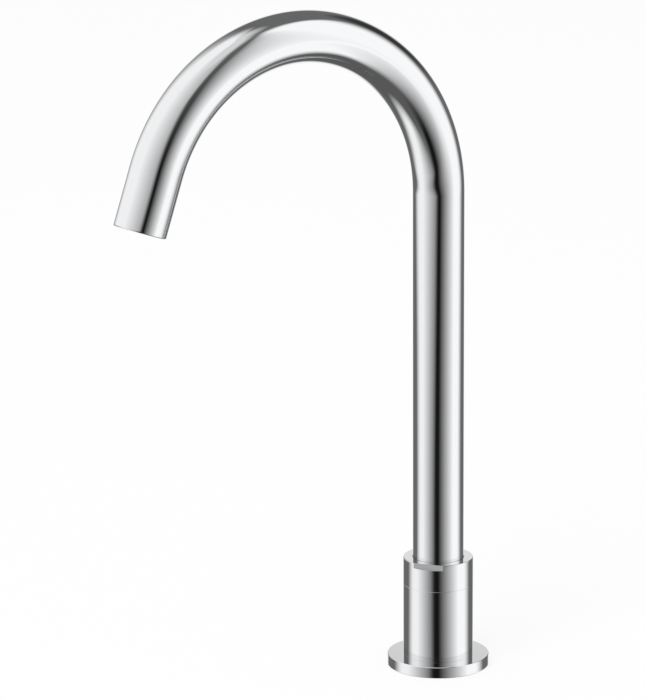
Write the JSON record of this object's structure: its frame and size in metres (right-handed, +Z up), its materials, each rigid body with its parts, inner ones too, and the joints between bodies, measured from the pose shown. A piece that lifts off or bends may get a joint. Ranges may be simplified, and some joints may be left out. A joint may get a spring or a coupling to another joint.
{
  "type": "sensor tap",
  "caption": "Deck-mounted swan-neck sensor tap: a tube spout that swivels in a short body on a round flange, with sensor and aerator in the tip and a threaded shank and backnut below the deck.",
  "frame": {"origin": "centre of the tap hole, on the deck under the flange", "axes": "+Z up, the spout reaches out along -Y towards the user, +X to the user's left seen from the tap"},
  "size_m": [0.05, 0.2063, 0.3925],
  "materials": {
    "chrome": "polished chrome plating on brass",
    "brass": "machined brass",
    "steel": "plain stainless steel",
    "rubber": "moulded rubber",
    "pale_plastic": "acetal, natural white",
    "black_plastic": "moulded black plastic",
    "hose_plastic": "cross-linked polyethylene hose",
    "cable_sheath": "black cable sheath",
    "lens_plastic": "dark infrared-clear plastic",
    "diode_resin": "tinted clear resin",
    "board_laminate": "green circuit board"
  },
  "bodies": {
    "base": {"base_flange": "chrome", "deck_gasket": "rubber", "body_seal": "rubber", "base_body": "chrome", "stop_pin": "steel", "threaded_shank": "brass", "inlet_circlip": "steel", "collar_nut": "chrome", "glide_ring_lower": "pale_plastic", "glide_ring_upper": "pale_plastic"},
    "spout": {"spout_tube": "chrome", "spout_foot": "brass", "foot_oring_lower": "rubber", "foot_oring_upper": "rubber", "water_hose": "hose_plastic", "hose_ferrule_inlet": "steel", "hose_ferrule_outlet": "steel", "inlet_fitting": "brass", "inlet_bush": "pale_plastic", "cable_plug": "black_plastic", "sensor_cable": "cable_sheath", "outlet_insert": "black_plastic", "insert_ring": "rubber", "sensor_lens": "lens_plastic", "sensor_capsule": "black_plastic", "sensor_board": "board_laminate", "infrared_emitter": "diode_resin", "infrared_receiver": "diode_resin"},
    "clamp": {"clamp_rubber": "rubber", "clamp_washer": "steel"},
    "backnut": {"backnut": "brass"},
    "aerator_core": {"aerator_washer": "rubber", "outlet_grid": "pale_plastic", "aerator_cartridge": "pale_plastic", "flow_regulator": "pale_plastic"},
    "aerator_housing": {"aerator_housing": "brass"}
  },
  "joints": [
    {"name": "spout_swivel", "type": "hinge", "parent": "base", "child": "spout", "pos_m": [0, 0, 0.045], "axis": [0, 0, 1], "range_deg": [-60, 60]},
    {"name": "clamp_travel", "type": "slide", "parent": "base", "child": "clamp", "axis": [0, 0, 1], "range_m": [-0.02401, 0.01651]},
    {"name": "backnut_turn", "type": "hinge", "parent": "clamp", "child": "backnut", "pos_m": [0, 0, -0.0295], "axis": [0, 0, 1], "range_deg": [-5760, 3960]},
    {"name": "aerator_travel", "type": "slide", "parent": "spout", "child": "aerator_core", "axis": [0, -0.3338, -0.9426], "range_m": [0, 0.00501]},
    {"name": "aerator_turn", "type": "hinge", "parent": "aerator_core", "child": "aerator_housing", "pos_m": [0, -0.16608, 0.2427], "axis": [0, -0.3338, -0.9426], "range_deg": [0, 1800]}
  ],
  "couplings": [
    {"joint": "clamp_travel", "follows": "backnut_turn", "m_per_rad": 0.00023873},
    {"joint": "aerator_travel", "follows": "aerator_turn", "m_per_rad": 0.00015915}
  ]
}
